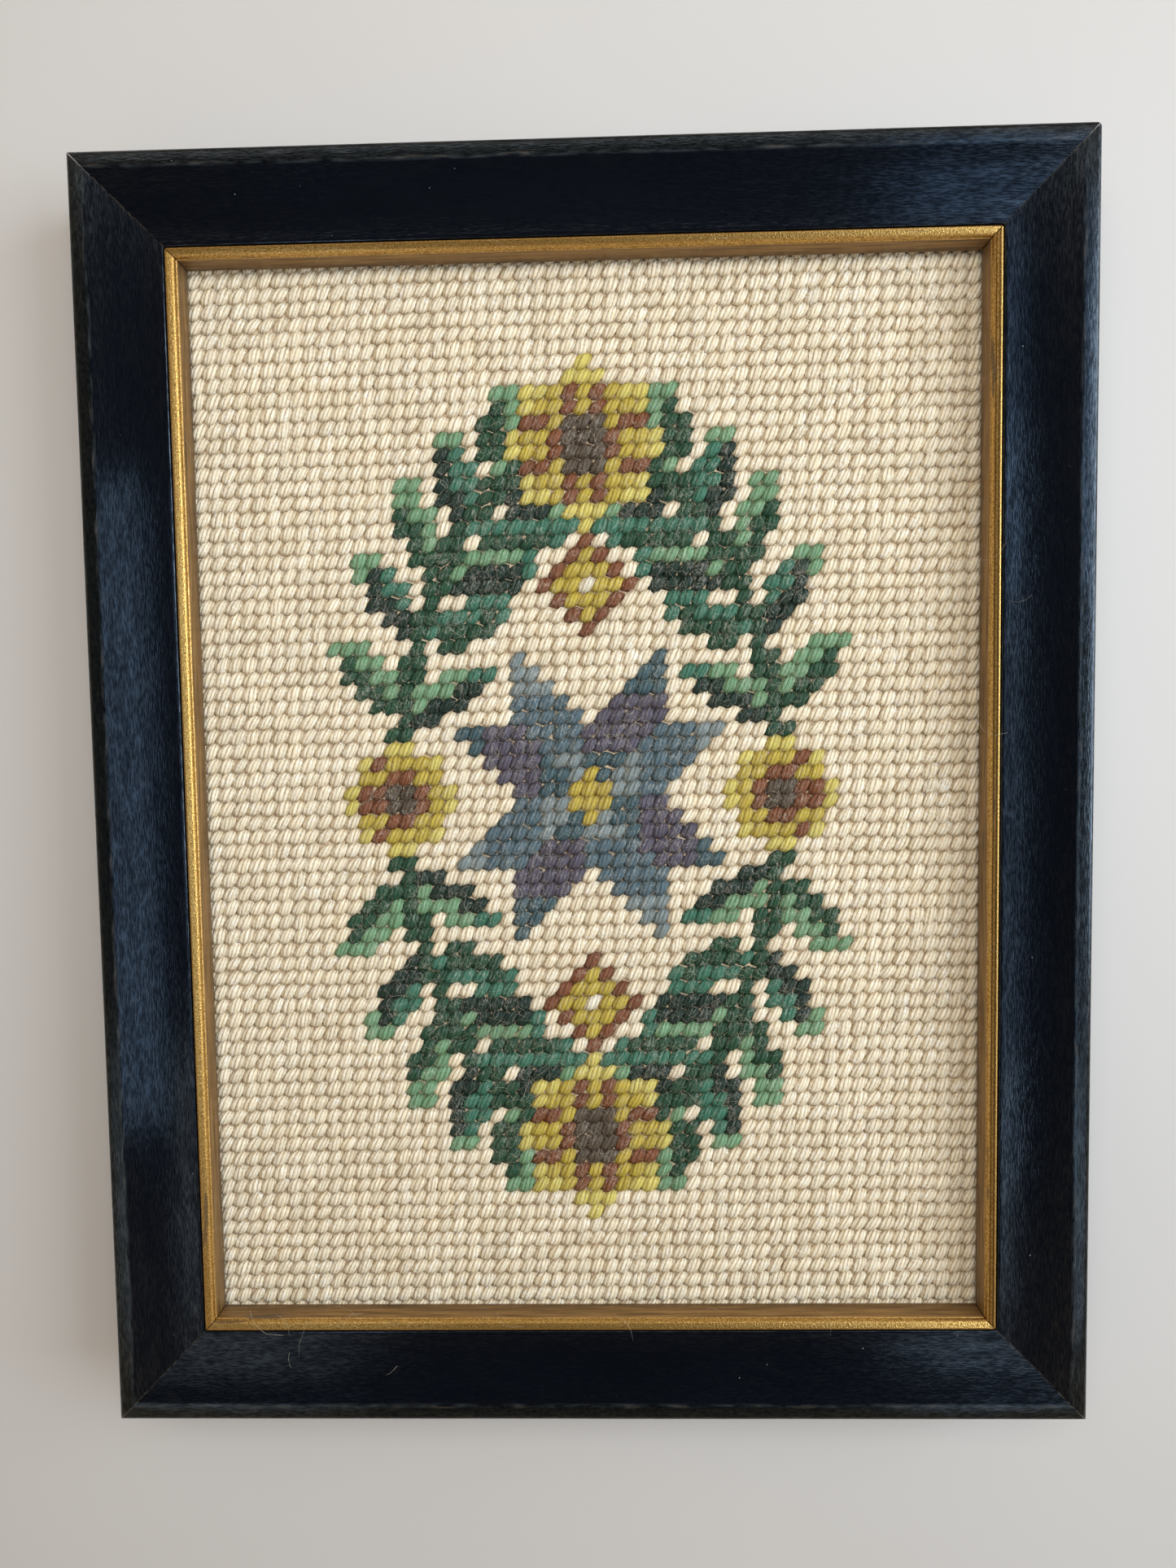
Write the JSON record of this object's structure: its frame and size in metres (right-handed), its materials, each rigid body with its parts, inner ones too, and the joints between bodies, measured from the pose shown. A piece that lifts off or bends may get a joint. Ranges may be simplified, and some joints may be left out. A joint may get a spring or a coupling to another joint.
{
  "type": "needlepoint panel in a wooden picture frame",
  "caption": "Upright rectangular needlepoint panel in a mitred black moulding with a thin gilt slip, lying on its back.",
  "frame": {"origin": "centre of the frame's back, on the surface it lies on", "axes": "+Z out of the picture's face, +Y to the picture's top, +X to its right as it is looked at"},
  "size_m": [0.172, 0.221, 0.02],
  "materials": {
    "black_paint": "satin black paint on wood",
    "gilding": "rubbed gold leaf on wood",
    "wool": "matt wool tent stitch on canvas",
    "fibreboard": "plain brown fibreboard"
  },
  "bodies": {
    "root": {"rail_bottom": "black_paint", "rail_right": "black_paint", "rail_top": "black_paint", "rail_left": "black_paint", "slip_bottom": "gilding", "slip_right": "gilding", "slip_top": "gilding", "slip_left": "gilding", "worked_canvas": "wool", "backing_board": "fibreboard"}
  },
  "joints": []
}
